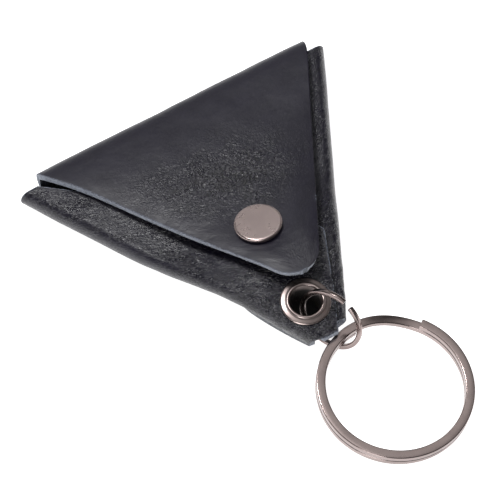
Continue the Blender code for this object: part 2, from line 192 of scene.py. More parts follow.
def lower_wing_top(x, y):
    """The lower wing's upper side, on +X."""
    edge = half_width(y) - fold_run(y)
    middle = smooth_along(WING_HEIGHTS, y, 1) + LEATHER
    side = np.minimum(smooth_along(WING_HEIGHTS, y, 2), middle + 0.5 * (1.0 - pressed(y)))
    flat = flat_share(y)
    return back_height(y) + middle + (side - middle) * ease((x / edge - flat) / (1.0 - flat))


def upper_wing_top(x, y):
    """The upper wing's upper side, on -X, which lies on the lower wing."""
    edge = half_width(y) - fold_run(y)
    side = back_height(y) + smooth_along(WING_HEIGHTS, y, 2)
    over = lower_wing_top(np.maximum(x, 0.0), y) + PLY_GAP + LEATHER
    flat = flat_share(y)
    return over + (side - over) * ease((-x / edge - flat) / (1.0 - flat))


SNAP_FOOT = Vector((FASTENER_X, SNAP_Y, float(upper_wing_top(FASTENER_X, SNAP_Y))))
EYE_FOOT = Vector((FASTENER_X, EYE_Y, float(upper_wing_top(FASTENER_X, EYE_Y))))


def flap_heights():
    """The flap's middle line, from the fold over the snap to the tip."""
    axis = Vector((0.0, math.sin(SNAP_LEAN), math.cos(SNAP_LEAN)))
    over = SNAP_FOOT + axis * (SNAP_SPACE + LEATHER)
    rise = math.tan(SNAP_LEAN)
    return np.array([
        (FOLD_Y, SPINE_Z),
        (FOLD_Y - 7.0, SPINE_Z + 1.3),
        (over.y + 9.0, over.z - 9.0 * rise),
        (over.y - 9.0, over.z + 9.0 * rise),
        (over.y - 12.0, over.z + 9.2 * rise),
        (over.y - 17.0, over.z + 6.5 * rise),
    ])


FLAP_HEIGHTS = flap_heights()
FLAP_SLOPE = FLAP_HALF / (FOLD_Y - FLAP_TIP_Y)
FLAP_TIP_CENTRE_Y = FLAP_TIP_Y + FLAP_TIP_R / math.sin(math.atan(FLAP_SLOPE))
FLAP_END_Y = FLAP_TIP_CENTRE_Y - FLAP_TIP_R


def flap_edges(y):
    """The flap's left and right edge."""
    turn_y = FLAP_TIP_CENTRE_Y - FLAP_TIP_R * math.sin(math.atan(FLAP_SLOPE))
    dy = np.clip(y - FLAP_TIP_CENTRE_Y, -FLAP_TIP_R, FLAP_TIP_R)
    rounded = np.sqrt(np.maximum(FLAP_TIP_R ** 2 - dy ** 2, 0.0))
    half = np.where(y < turn_y, rounded, FLAP_SLOPE * (y - FLAP_TIP_Y))
    flare = FLAP_FLARE * np.exp(np.minimum(y - FOLD_Y, 0.0) / 4.0)
    return FLAP_TIP_X - half - flare, FLAP_TIP_X + half


def flap_top(x, y):
    """The flap's upper side, whose edges hang a little where it is wide."""
    left, right = flap_edges(y)
    side = (x - 0.5 * (left + right)) / np.maximum(0.5 * (right - left), 1.0)
    fade = ease((FOLD_Y - y) / 20.0)
    hang = np.maximum(np.abs(side) - 0.45, 0.0) / 0.55
    wide = np.clip(0.5 * (right - left) / FULL_DROOP_HALF, 0.0, 1.0) ** 2
    return smooth_along(FLAP_HEIGHTS, y, 1) - FLAP_DROOP * fade * wide * hang ** 2


# ---------------------------------------------------------------- smooth noise for hand-made unevenness

NOISE = RNG.uniform(-1.0, 1.0, (256, 256))


def noise(u, v, layer=0):
    """Value noise over a plane, about -1 to 1."""
    u = np.asarray(u) + 17.3 * layer
    v = np.asarray(v) + 41.7 * layer
    iu = np.floor(u).astype(int)
    iv = np.floor(v).astype(int)
    fu = u - iu
    fv = v - iv
    fu = fu * fu * (3.0 - 2.0 * fu)
    fv = fv * fv * (3.0 - 2.0 * fv)
    corner = [NOISE[(iu + a) % 256, (iv + b) % 256] for a in (0, 1) for b in (0, 1)]
    low = corner[0] * (1 - fu) + corner[2] * fu
    high = corner[1] * (1 - fu) + corner[3] * fu
    return low * (1 - fv) + high * fv


def bell(t, width):
    """A bump that is 1 at t = 0."""
    return np.exp(-(t / width) ** 2)


# ---------------------------------------------------------------- mesh helpers


def normals_of(grid):
    """Unit normals of a grid of points, from its rows and columns."""
    du = np.gradient(grid, axis=0)
    dv = np.gradient(grid, axis=1)
    n = np.cross(du, dv)
    return n / np.maximum(np.linalg.norm(n, axis=2, keepdims=True), 1e-9)


def add_attribute(mesh, name, values):
    """A number for each vertex, which the materials read."""
    layer = mesh.attributes.new(name, "FLOAT", "POINT")
    layer.data.foreach_set("value", np.asarray(values, dtype=np.float32))


def make_object(name, points, faces, mats, face_mats=None, smooth=True):
    mesh = bpy.data.meshes.new(name)
    mesh.from_pydata([tuple(p) for p in np.asarray(points) * MM], [], faces)
    for mat in mats:
        mesh.materials.append(mat)
    if face_mats is not None:
        mesh.polygons.foreach_set("material_index", np.asarray(face_mats, dtype=np.int32))
    mesh.polygons.foreach_set("use_smooth", np.full(len(mesh.polygons), smooth))
    obj = bpy.data.objects.new(name, mesh)
    bpy.context.scene.collection.objects.link(obj)
    mesh.update()
    return obj


def clear_hole(grid, hole):
    """Push a grid's points out to the rim of a round hole; gives which points those are."""
    x, y, radius = hole
    dx = grid[..., 0] - x
    dy = grid[..., 1] - y
    d = np.hypot(dx, dy)
    inside = (d < radius) & (d > 1e-6)
    scale = np.where(inside, radius / np.maximum(d, 1e-6), 1.0)
    grid[..., 0] = x + dx * scale
    grid[..., 1] = y + dy * scale
    return inside


def outward_at_edge(edges, outer, inner):
    """For points on a boundary, the direction out of the sheet."""
    outward = {}
    for p, q in edges:
        out = np.cross(inner[p] - outer[p], outer[q] - outer[p])
        size = np.linalg.norm(out)
        if size > 1e-9:
            for k in (p, q):
                outward[k] = outward.get(k, np.zeros(3)) + out / size
    return outward


def leather_ply(name, outer, inner, plain, grain, hole):
    """A sheet of leather from two grids: grain side, flesh side, and raw cut edges all round.

    plain holds the unrolled place of each point, grain how strongly it is pebbled, and hole is
    (x, y, radius).
    """
    rows, cols = outer.shape[:2]
    count = rows * cols
    inside = clear_hole(outer, hole)
    clear_hole(inner, hole)
    keep = ~(inside[:-1, :-1] & inside[1:, :-1] & inside[1:, 1:] & inside[:-1, 1:])

    index = np.arange(count).reshape(rows, cols)
    faces = []
    face_mats = []
    edges = {}
    for i, j in zip(*np.nonzero(keep)):
        a, b, c, d = index[i, j], index[i, j + 1], index[i + 1, j + 1], index[i + 1, j]
        faces.append((a, b, c, d))
        face_mats.append(0)
        faces.append((d + count, c + count, b + count, a + count))
        face_mats.append(1)
        for p, q in ((a, b), (b, c), (c, d), (d, a)):
            if (q, p) in edges:
                del edges[(q, p)]
            else:
                edges[(p, q)] = True

    # The cut edge: rings of points between the two sides, a little rough, but flush at the narrow end
    flat_outer = outer.reshape(-1, 3)
    flat_inner = inner.reshape(-1, 3)
    outward = outward_at_edge(edges, flat_outer, flat_inner)
    rim = sorted({p for e in edges for p in e})
    ring_start = {}
    extra = []
    for k in rim:
        flush = flat_outer[k][1] < APEX_Y + FLUSH_EDGE
        out = np.zeros(3) if flush else outward.get(k, np.zeros(3))
        out = out / max(np.linalg.norm(out), 1e-9)
        ring_start[k] = 2 * count + len(extra)
        for t in EDGE_RINGS:
            calm = 0.3 if t < 0.1 else 1.0
            rough = EDGE_ROUGHNESS * float(RNG.uniform(-1.0, 1.0)) * calm
            swell = EDGE_SWELL * math.sin(math.pi * t) + rough
            extra.append(flat_outer[k] * (1 - t) + flat_inner[k] * t + out * swell)
    for p, q in edges:
        chain_p, chain_q = (
            [k] + [ring_start[k] + s for s in range(len(EDGE_RINGS))] + [k + count] for k in (p, q))
        for s in range(len(chain_p) - 1):
            faces.append((chain_q[s], chain_p[s], chain_p[s + 1], chain_q[s + 1]))
            face_mats.append(2)

    # Every face looks out of the sheet, and points that no face uses are dropped
    facing = np.cross(outer[1:, :-1] - outer[:-1, :-1], outer[:-1, 1:] - outer[:-1, :-1])
    if (facing * (outer - inner)[:-1, :-1]).sum() > 0.0:
        faces = [f[::-1] for f in faces]
    points = np.vstack([flat_outer, flat_inner, np.array(extra)])
    used = np.zeros(len(points), bool)
    used[np.unique(np.concatenate([np.array(f) for f in faces]))] = True
    new_index = np.cumsum(used) - 1
    faces = [tuple(int(new_index[k]) for k in f) for f in faces]
    obj = make_object(name, points[used], faces, [GRAIN, SUEDE, CUT_EDGE], face_mats)

    # Where a point lies on the flat sheet, how pebbled it is, and how near a cut edge
    flat_place = plain.reshape(-1, 2)
    depth = np.tile(LEATHER * np.array(EDGE_RINGS), len(rim))
    sheet_place = np.vstack([
        np.column_stack([flat_place, np.zeros(count)]),
        np.column_stack([flat_place, np.full(count, LEATHER)]),
        np.column_stack([np.repeat(flat_place[rim], len(EDGE_RINGS), axis=0), depth])])[used]
    layer = obj.data.attributes.new("sheet_place", "FLOAT_VECTOR", "POINT")
    layer.data.foreach_set("vector", sheet_place.astype(np.float32).ravel())
    no_grain = np.zeros(len(extra))
    add_attribute(obj.data, "grain", np.concatenate([grain.ravel(), grain.ravel(), no_grain])[used])
    rim_points = flat_outer[rim]
    near = np.zeros(count)
    block_size = 4000
    for start in range(0, count, block_size):
        block = flat_outer[start:start + block_size]
        squares = ((block[:, None, :] - rim_points[None, ::2, :]) ** 2).sum(axis=2)
        near[start:start + block_size] = np.sqrt(squares).min(axis=1)
    add_attribute(obj.data, "from_edge", np.concatenate([near, near, np.zeros(len(extra))])[used])
    return obj


def rounded(profile, radius, steps=4):
    """A closed outline with each corner rounded off."""
    count = len(profile)
    result = []
    for i, p in enumerate(profile):
        p = np.array(p)
        if p[0] == 0.0:
            result.append(tuple(p))
            continue
        before = np.array(profile[i - 1]) - p
        after = np.array(profile[(i + 1) % count]) - p
        len_before = np.linalg.norm(before)
        len_after = np.linalg.norm(after)
        r = min(radius, 0.45 * len_before, 0.45 * len_after)
        start = p + before / len_before * r
        end = p + after / len_after * r
        for k in range(steps + 1):
            t = k / steps
            result.append(tuple((1 - t) ** 2 * start + 2 * t * (1 - t) * p + t * t * end))
    return result


def turned(name, profile, place, mat, radius=0.08, steps=96):
    """A turned metal piece, closed, from a (radius, height) outline."""
    outline = rounded(profile, radius)
    matrix = np.array(place)
    rings = []
    points = []
    for r, z in outline:
        if r < 1e-9:
            rings.append([len(points)])
            points.append((0.0, 0.0, z))
        else:
            rings.append(list(range(len(points), len(points) + steps)))
            points += [
                (r * math.cos(2 * math.pi * k / steps), r * math.sin(2 * math.pi * k / steps), z)
                for k in range(steps)]
    faces = []
    for a, b in zip(rings, rings[1:] + rings[:1]):
        if len(a) == 1 and len(b) == 1:
            continue
        for k in range(steps):
            n = (k + 1) % steps
            if len(a) == 1:
                faces.append((a[0], b[k], b[n]))
            elif len(b) == 1:
                faces.append((a[k], b[0], a[n]))
            else:
                faces.append((a[k], b[k], b[n], a[n]))
    points = np.array(points) @ matrix[:3, :3].T + matrix[:3, 3]
    obj = make_object(name, points, faces, [mat])
    fix_normals(obj)
    return obj


def swept(name, centres, side, up, section, mat):
    """A section of (side, up) offsets carried along a line of points, with flat ends."""
    loops = [
        [c + s * du + u * dv for du, dv in section]
        for c, s, u in zip(centres, side, up)]
    count = len(section)
    faces = []
    for i in range(len(loops) - 1):
        for k in range(count):
            n = (k + 1) % count
            faces.append((i * count + k, i * count + n, (i + 1) * count + n, (i + 1) * count + k))
    faces.append(tuple(range(count))[::-1])
    last = (len(loops) - 1) * count
    faces.append(tuple(range(last, last + count)))
    obj = make_object(name, np.array(loops).reshape(-1, 3), faces, [mat])
    fix_normals(obj)
    obj.data.set_sharp_from_angle(angle=math.radians(50.0))
    return obj


def fix_normals(obj):
    """Turn every face outwards."""
    bm = bmesh.new()
    bm.from_mesh(obj.data)
    bmesh.ops.recalc_face_normals(bm, faces=bm.faces)
    bm.to_mesh(obj.data)
    bm.free()


def leaning(foot, lean, up=0.0):
    """The place of a turned piece on a leaning axis."""
    lift = Matrix.Translation((0.0, 0.0, up))
    return Matrix.Translation(foot) @ Matrix.Rotation(-lean, 4, "X") @ lift


# ---------------------------------------------------------------- materials


class Nodes:
    """A short way to write a node tree."""

    def __init__(self, name):
        self.mat = bpy.data.materials.new(name)
        self.mat.use_nodes = True
        self.tree = self.mat.node_tree
        self.shader = self.tree.nodes["Principled BSDF"]

    def add(self, kind, settings=None, **inputs):
        node = self.tree.nodes.new(kind)
        for key, value in (settings or {}).items():
            setattr(node, key, value)
        for key, value in inputs.items():
            self.feed(node.inputs[key.replace("_", " ")], value)
        return node

    def feed(self, socket, value):
        if isinstance(value, bpy.types.NodeSocket):
            self.tree.links.new(value, socket)
        else:
            socket.default_value = value

    def math(self, operation, *values, clamp=False):
        node = self.tree.nodes.new("ShaderNodeMath")
        node.operation = operation
        node.use_clamp = clamp
        for socket, value in zip(node.inputs, values):
            self.feed(socket, value)
        return node.outputs[0]

    def attribute(self, name, output="Fac"):
        node = self.tree.nodes.new("ShaderNodeAttribute")
        node.attribute_name = name
        return node.outputs[output]

    def noise(self, vector, scale, detail=2.0, rough=0.5):
        node = self.add(
            "ShaderNodeTexNoise", None, Vector=vector, Scale=scale, Detail=detail, Roughness=rough)
        return node.outputs["Fac"]

    def cells(self, vector, scale, feature="DISTANCE_TO_EDGE"):
        node = self.add("ShaderNodeTexVoronoi", {"feature": feature}, Vector=vector, Scale=scale)
        return node.outputs["Distance"]

    def remap(self, value, low, high, to_low, to_high):
        node = self.add("ShaderNodeMapRange", {"interpolation_type": "SMOOTHSTEP"})
        self.feed(node.inputs["Value"], value)
        ends = {"From Min": low, "From Max": high, "To Min": to_low, "To Max": to_high}
        for key, number in ends.items():
            self.feed(node.inputs[key], number)
        return node.outputs["Result"]

    def mix(self, factor, one, two):
        node = self.tree.nodes.new("ShaderNodeMix")
        node.data_type = "RGBA"
        self.feed(node.inputs["Factor"], factor)
        self.feed(node.inputs["A"], (*one, 1.0) if isinstance(one, tuple) else one)
        self.feed(node.inputs["B"], (*two, 1.0) if isinstance(two, tuple) else two)
        return node.outputs["Result"]

    def bump(self, height, distance, strength=1.0, normal=None):
        node = self.tree.nodes.new("ShaderNodeBump")
        self.feed(node.inputs["Height"], height)
        self.feed(node.inputs["Distance"], distance)
        self.feed(node.inputs["Strength"], strength)
        if normal is not None:
            self.feed(node.inputs["Normal"], normal)
        return node.outputs["Normal"]

    def set(self, **inputs):
        for key, value in inputs.items():
            self.feed(self.shader.inputs[key.replace("_", " ")], value)
        return self.mat


# Base colours, linear; a pair is the dark and the light end of a mix
FINISH = ((0.0060, 0.0046, 0.0140), (0.0090, 0.0072, 0.0190))
# Painted highlight on the pebble tops, which stands in for glints, and painted shade in the creases
# between pebbles
PEBBLE_TOP_PAINTED_HIGHLIGHT = (0.044, 0.042, 0.050)
PEBBLE_CREASE_PAINTED_SHADE = (0.002, 0.002, 0.003)
WORN_FINISH = (0.045, 0.050, 0.062)
FRAYED_FINISH = (0.19, 0.21, 0.27)
NAP = ((0.014, 0.017, 0.024), (0.078, 0.087, 0.108))
NAP_PATCH = (0.030, 0.034, 0.045)
FIBRES = ((0.115, 0.135, 0.185), (0.46, 0.51, 0.62))
FIBRE_CLUMP = (0.060, 0.072, 0.100)
FINISH_AT_EDGE = (0.012, 0.013, 0.016)
BORE_SHADE = (0.012, 0.011, 0.011)
PIT = (0.03, 0.027, 0.026)
FLOOR_SHADE = (0.02, 0.02, 0.02)
FLOOR_WHITE = (0.86, 0.86, 0.865)


def grain_leather():
    """Smooth finished black leather; pebbles show where the sheet is bent or pressed."""
    n = Nodes("leather_grain_side")
    place = n.attribute("sheet_place", "Vector")
    grain = n.attribute("grain")
    from_edge = n.attribute("from_edge")

    drift = n.add("ShaderNodeTexNoise", None, Vector=place, Scale=1.1, Detail=3.0)
    shifted = n.add("ShaderNodeVectorMath", {"operation": "MULTIPLY_ADD"})
    n.feed(shifted.inputs[0], drift.outputs["Color"])
    n.feed(shifted.inputs[1], (1.2, 1.2, 0.0))
    n.feed(shifted.inputs[2], place)
    pebble = n.remap(n.cells(shifted.outputs[0], 1.35), 0.0, 0.30, 0.0, 1.0)
    pores = n.remap(n.cells(shifted.outputs[0], 2.9), 0.0, 0.2, 0.0, 1.0)
    patchy = n.noise(place, 0.35, 3.0)
    show = n.math("MULTIPLY", grain, n.remap(patchy, 0.3, 0.7, 0.65, 1.15))
    fine = n.noise(place, 9.0, 4.0, 0.6)
    wide = n.noise(place, 0.16, 3.0, 0.55)

    height = n.math("ADD", n.math("MULTIPLY", pebble, 0.75), n.math("MULTIPLY", pores, 0.25))
    coarse = n.bump(height, 0.00012, show)
    skin = n.bump(fine, 0.000012, 0.6, coarse)
    swell = n.bump(wide, 0.00045, n.math("ADD", n.math("MULTIPLY", grain, 0.25), 0.4), skin)

    worn = n.remap(from_edge, 0.0, 0.9, 1.0, 0.0)
    body = n.mix(n.remap(wide, 0.3, 0.7, 0.0, 1.0), *FINISH)
    # Painted light: pebble tops are painted lighter as glints, and the creases between them are painted
    # darker as shade
    painted_highlight_tops = n.math("MULTIPLY", n.remap(pebble, 0.45, 1.0, 0.0, 1.0), show, clamp=True)
    painted_shade_creases = n.math("MULTIPLY", n.remap(pebble, 0.0, 0.5, 1.0, 0.0), show, clamp=True)
    pebbled = n.mix(painted_shade_creases, n.mix(painted_highlight_tops, body, PEBBLE_TOP_PAINTED_HIGHLIGHT), PEBBLE_CREASE_PAINTED_SHADE)
    colour = n.mix(n.math("MULTIPLY", worn, 0.25), pebbled, WORN_FINISH)
    at_edge = n.remap(from_edge, 0.10, 0.30, 1.0, 0.0)
    broken_up = n.remap(n.noise(place, 2.2, 3.0), 0.38, 0.6, 0.15, 0.9)
    colour = n.mix(n.math("MULTIPLY", at_edge, broken_up), colour, FRAYED_FINISH)
    satin = n.remap(n.noise(place, 0.5, 4.0), 0.3, 0.7, 0.38, 0.46)
    glossy = n.math("MULTIPLY", n.remap(grain, 0.1, 0.9, 0.0, 1.0), -0.16)
    rough = n.math("ADD", n.math("ADD", satin, glossy), n.math("MULTIPLY", worn, 0.12))
    return n.set(Base_Color=colour, Roughness=rough, Normal=swell, IOR=1.50)


def suede_leather():
    """The flesh side: dark, matt and napped."""
    n = Nodes("leather_flesh_side")
    place = n.attribute("sheet_place", "Vector")
    nap = n.noise(place, 5.0, 5.0, 0.7)
    patches = n.noise(place, 0.6, 3.0)
    colour = n.mix(n.remap(nap, 0.3, 0.7, 0.0, 1.0), *NAP)
    tone = n.mix(n.remap(patches, 0.35, 0.7, 0.0, 0.5), colour, NAP_PATCH)
    normal = n.bump(nap, 0.00022, 1.0)
    mat = n.set(Base_Color=tone, Roughness=0.95, Normal=normal)
    n.shader.inputs["Sheen Weight"].default_value = 0.3
    n.shader.inputs["Sheen Roughness"].default_value = 0.5
    return mat


def cut_leather():
    """The raw cut edge: blue-grey fibres, paler where they fray, with a black outer line."""
    n = Nodes("leather_cut_edge")
    place = n.attribute("sheet_place", "Vector")
    stretched = n.add("ShaderNodeMapping", None, Vector=place)
    stretched.inputs["Scale"].default_value = (1.0, 1.0, 3.0)
    fibres = n.noise(stretched.outputs["Vector"], 3.2, 6.0, 0.75)
    clumps = n.noise(place, 1.1, 3.0)
    colour = n.mix(n.remap(fibres, 0.35, 0.68, 0.0, 1.0), *FIBRES)
    tone = n.mix(n.remap(clumps, 0.4, 0.75, 0.0, 0.55), colour, FIBRE_CLUMP)
    depth = n.add("ShaderNodeSeparateXYZ", None, Vector=place)
    finish = n.remap(depth.outputs["Z"], 0.0, 0.22, 1.0, 0.0)
    final = n.mix(n.math("MULTIPLY", finish, 0.8), tone, FINISH_AT_EDGE)
    normal = n.bump(fibres, 0.00022, 1.0)
    mat = n.set(Base_Color=final, Roughness=0.95, Normal=normal)
    n.shader.inputs["Sheen Weight"].default_value = 0.5
    n.shader.inputs["Sheen Roughness"].default_value = 0.5
    return mat


def metal(name, base, rough_low, rough_high, pits=0.0, dark_inside=False):
    """Polished metal with a fine haze; dark_inside shades where the mesh has the attribute "inside"."""
    n = Nodes(name)
    spot = n.add("ShaderNodeTexCoord").outputs["Object"]
    haze = n.noise(spot, 900.0, 5.0, 0.6)
    broad = n.noise(spot, 160.0, 3.0)
    both = n.math("ADD", n.math("MULTIPLY", haze, 0.5), n.math("MULTIPLY", broad, 0.5))
    rough = n.remap(both, 0.35, 0.65, rough_low, rough_high)
    darker = tuple(c * 0.86 for c in base)
    colour = n.mix(n.remap(broad, 0.35, 0.65, 0.0, 1.0), base, darker)
    if dark_inside:
        shade = n.remap(n.attribute("inside"), 0.0, 0.3, 0.0, 0.94)
        colour = n.mix(shade, colour, BORE_SHADE)
    normal = n.bump(haze, 0.000006, 0.5)
    if pits:
        rare = n.math("GREATER_THAN", n.noise(spot, 420.0, 1.0), 0.70)
        round_pit = n.remap(n.cells(spot, 1500.0, "F1"), 0.10, 0.28, 1.0, 0.0)
        pit = n.math("MULTIPLY", round_pit, rare)
        colour = n.mix(n.math("MULTIPLY", pit, pits), colour, PIT)
        normal = n.bump(n.math("MULTIPLY", pit, -1.0), 0.000012, 1.0, normal)
    return n.set(Base_Color=colour, Roughness=rough, Normal=normal, Metallic=1.0)


GRAIN = grain_leather()
SUEDE = suede_leather()
CUT_EDGE = cut_leather()
GUNMETAL = metal("gunmetal_plating", (0.310, 0.252, 0.241), 0.16, 0.26)
GUNMETAL_CAP = metal("gunmetal_cap", (0.480, 0.392, 0.376), 0.26, 0.35, pits=0.9)
# Painted light: the eyelet's gunmetal is a lighter copy of the plating, to lift the shade that the flap
# and the dim room leave on it
GUNMETAL_EYELET = metal("gunmetal_eyelet", (0.36, 0.296, 0.281), 0.30, 0.38, dark_inside=True)
SPRING_STEEL = metal("spring_steel_wire", (0.58, 0.57, 0.56), 0.22, 0.30)

# ---------------------------------------------------------------- leather


def row_y(end_y, share):
    """The rows fan out from the pocket's mouth to a ply's own narrow end."""
    return MOUTH_Y + (end_y - MOUTH_Y) * share


def section_of_pouch(share):
    """One row of the pouch's sheet: upper wing, left fold, back, right fold, lower wing."""
    flat_steps = 76
    fold_steps = 22
    back_steps = 60
    points = []
    kinds = []
    back_y = row_y(INNER_APEX_Y, share)
    for sign, table, top, end_y in (
            (-1.0, UPPER_WING_REACH, upper_wing_top, APEX_Y),
            (1.0, LOWER_WING_REACH, lower_wing_top, INNER_APEX_Y)):
        y = row_y(end_y, share)
        run = float(fold_run(y))
        edge = float(half_width(y)) - run
        low = float(back_height(y))
        rise = 0.5 * (float(top(sign * edge, y)) - low)
        reach = -sign * float(along(table, y, 1))
        xs = np.linspace(reach, sign * edge, flat_steps)
        side = [(x, y, float(z)) for x, z in zip(xs, top(xs, np.full(flat_steps, y)))]
        for k in range(1, fold_steps):
            t = k / fold_steps
            a = math.radians(90.0 - 180.0 * t)
            side.append((
                sign * (edge + run * math.cos(a)),
                y + (back_y - y) * t,
                low + rise + rise * math.sin(a)))
        if sign < 0:
            points += side
            edge_back = float(half_width(back_y) - fold_run(back_y))
            points += [
                (x, back_y, float(back_height(back_y)))
                for x in np.linspace(-edge_back, edge_back, back_steps)]
            kinds += ["wing"] * len(side) + ["back"] * back_steps
        else:
            points += side[::-1]
            kinds += ["wing"] * len(side)
    return points, kinds


def make_pouch_leather():
    """The back and both wings as one sheet, folded over at the sides."""
    rows = 168
    sections = [section_of_pouch(share) for share in np.linspace(0.0, 1.0, rows)]
    outer = np.array([points for points, _ in sections])
    back = np.array([kinds for _, kinds in sections]) == "back"
    n = normals_of(outer)
    # Outward is down under the back
    if n[..., 2][back].mean() > 0:
        n = -n
    step = np.linalg.norm(np.diff(outer, axis=1), axis=2)
    length = np.concatenate([np.zeros((rows, 1)), np.cumsum(step, axis=1)], axis=1)
    middle = length[:, length.shape[1] // 2][:, None]
    plain = np.dstack([length - middle, outer[..., 1]])

    x, y, z = outer[..., 0], outer[..., 1], outer[..., 2]
    soft = POUCH_SWELL * noise(x / 7.0, y / 9.0, 1) + POUCH_FINE_SWELL * noise(x / 2.6, y / 3.4, 2)
    # Wrinkles that run along the side folds, strongest beside the eyelet
    along_fold = y * 0.16
    wrinkle = noise(plain[..., 0] / 1.15 + 1.2 * noise(x / 5.0, y / 5.0, 3), along_fold, 4)
    near_eye = ease((-12.0 - y) / 22.0)
    side_band = bell((np.abs(x) - (half_width(y) - 3.4)) / 1.0, 3.2)
    on_side = z > back_height(y) + 1.6
    creased = FOLD_WRINKLE * wrinkle * ease((-26.0 - y) / 10.0) * side_band * on_side
    # Arcs round the eyelet, on the narrow end
    eye_far = np.hypot(x - FASTENER_X, (y - EYE_Y))
    wave = np.sin(eye_far * 4.6 + 1.4 * noise(x / 2.0, y / 2.0, 5))
    arcs = EYE_WRINKLE * wave * bell(eye_far - 8.0, 2.2)
    arcs = arcs * ease((-39.0 - y) / 5.0)
    outside = np.where(back, 0.35, 1.0)
    flat_there = bell(eye_far, EYE_FLAT_R)
    bumpy = (soft + creased + arcs) * outside * (1.0 - flat_there)
    # Level near the table, under the flap, and where the key ring passes the narrow end
    bumpy = bumpy * np.clip(np.minimum(z, 2.0) / 2.0 + 0.15, 0.0, 1.0)
    hidden = np.abs(x) < 0.5 * half_width(y)
    bumpy = np.where(hidden & (y > -30.0), 0.0, bumpy)
    bumpy = np.clip(bumpy, -0.3, 0.2 * ease((y + 46.5) / 6.0) - 0.02)
    inner = outer - n * LEATHER
    outer = outer + n * bumpy[..., None]
    outer[..., 2] = np.where(back, np.maximum(outer[..., 2], 0.0), outer[..., 2])

    shoulder = 1.0 - ease((back_height(y) + 2.2 - z) / 2.2)
    grain = np.where(back, 0.3, 0.25 + 0.45 * shoulder)
    grain = (grain + 0.25 * near_eye * shoulder) * (0.85 + 0.25 * noise(x / 6.0, y / 6.0, 6))
    obj = leather_ply(
        "pouch_leather", outer, inner, plain, np.clip(grain, 0.0, 1.2),
        hole=(FASTENER_X, EYE_Y, HOLE_R + BARREL_T + 0.3))
    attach(obj, "pouch")
    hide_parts("back_panel", "left_wing", "right_wing")


def make_flap_leather():
    """The fold and the flap as one sheet, bent round where it is folded."""
    left0, right0 = (float(v) for v in flap_edges(FOLD_Y))
    cols = 190
    shares = np.linspace(0.0, 1.0, cols)
    # Each line across is (left, right, y, z); on the flap z comes from flap_top
    lines = [(left0, right0, FOLD_Y - 0.45, 0.0), (left0, right0, FOLD_Y, 0.0)]
    rise = 0.5 * SPINE_Z
    for a in np.radians(np.linspace(-84.0, 84.0, 34)):
        lines.append((left0, right0, FOLD_Y + SPINE_OUT * math.cos(a), rise + rise * math.sin(a)))
    ys = list(np.linspace(FOLD_Y - 0.35, FLAP_END_Y + FLAP_TIP_R, 128))
    tip_angles = np.radians(np.linspace(4.0, 86.0, 22))
    ys += [FLAP_END_Y + FLAP_TIP_R * (1.0 - math.sin(a)) for a in tip_angles]
    for y in ys:
        left, right = flap_edges(np.array(y))
        lines.append((float(left), float(right), y, None))
    outer = []
    for left, right, y, z in lines:
        xs = left + (right - left) * shares
        zs = np.full(cols, z) if z is not None else flap_top(xs, np.full(cols, y))
        outer.append(np.column_stack([xs, np.full(cols, y), zs]))
    outer = np.array(outer)
    # Ease the round of the fold into the flap
    soften = np.zeros(len(lines))
    eased = EASED_ROWS.stop - EASED_ROWS.start
    soften[EASED_ROWS] = np.sin(np.linspace(0.0, math.pi, eased)) ** 0.5
    for _ in range(EASING_PASSES):
        mean = 0.25 * (outer[:-2] + 2.0 * outer[1:-1] + outer[2:])
        outer[1:-1] += (mean - outer[1:-1]) * soften[1:-1, None, None]
    n = normals_of(outer)
    if n[-40, cols // 2, 2] < 0:
        n = -n
    step = np.linalg.norm(np.diff(outer, axis=0), axis=2)
    length = np.concatenate([np.zeros((1, cols)), np.cumsum(step, axis=0)], axis=0)
    plain = np.dstack([outer[..., 0], -length])

    x, y, z = outer[..., 0], outer[..., 1], outer[..., 2]
    upper = ease((z - 2.0) / 3.0)
    soft = FLAP_SWELL * noise(x / 10.0, y / 12.0, 11) + FLAP_FINE_SWELL * noise(x / 4.0, y / 5.0, 12)
    scuffs = FLAP_SCUFF * noise(x / 3.5, y / 0.7, 13) * bell(np.hypot(x - 3.0, y + 31.0), 6.0)
    cap_far = np.hypot(x - FASTENER_X, y - (SNAP_Y + 0.9))
    dimple = -CAP_DIMPLE * bell(cap_far - 5.0, 1.6)
    flat_there = bell(cap_far, 5.0)
    bumpy = np.clip((soft + scuffs) * upper * (1.0 - flat_there) + dimple, -0.22, 0.2)
    inner = outer - n * LEATHER
    outer = outer + n * bumpy[..., None]
    # Pebbled patches: in the middle, on the left and by the tip
    patch = np.exp(-(((x - 3.0) / 13.0) ** 2 + ((y + 8.5) / 9.0) ** 2))
    left_patch = 0.5 * np.exp(-(((x + 12.0) / 9.0) ** 2 + ((y + 3.0) / 6.0) ** 2))
    tip_patch = 0.22 * np.exp(-(((x - 3.5) / 6.0) ** 2 + ((y + 32.0) / 5.0) ** 2))
    grain = 0.06 + patch + left_patch + tip_patch
    grain = grain * (0.85 + 0.3 * noise(x / 3.5, y / 3.5, 14))
    obj = leather_ply(
        "flap_leather", outer, inner, plain, np.clip(grain, 0.0, 1.1),
        hole=(FASTENER_X, SNAP_Y + 0.8, POST_R + 0.35))
    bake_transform(obj)
    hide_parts("fold_spine", "flap")


make_pouch_leather()
make_flap_leather()

# ---------------------------------------------------------------- snap fastener


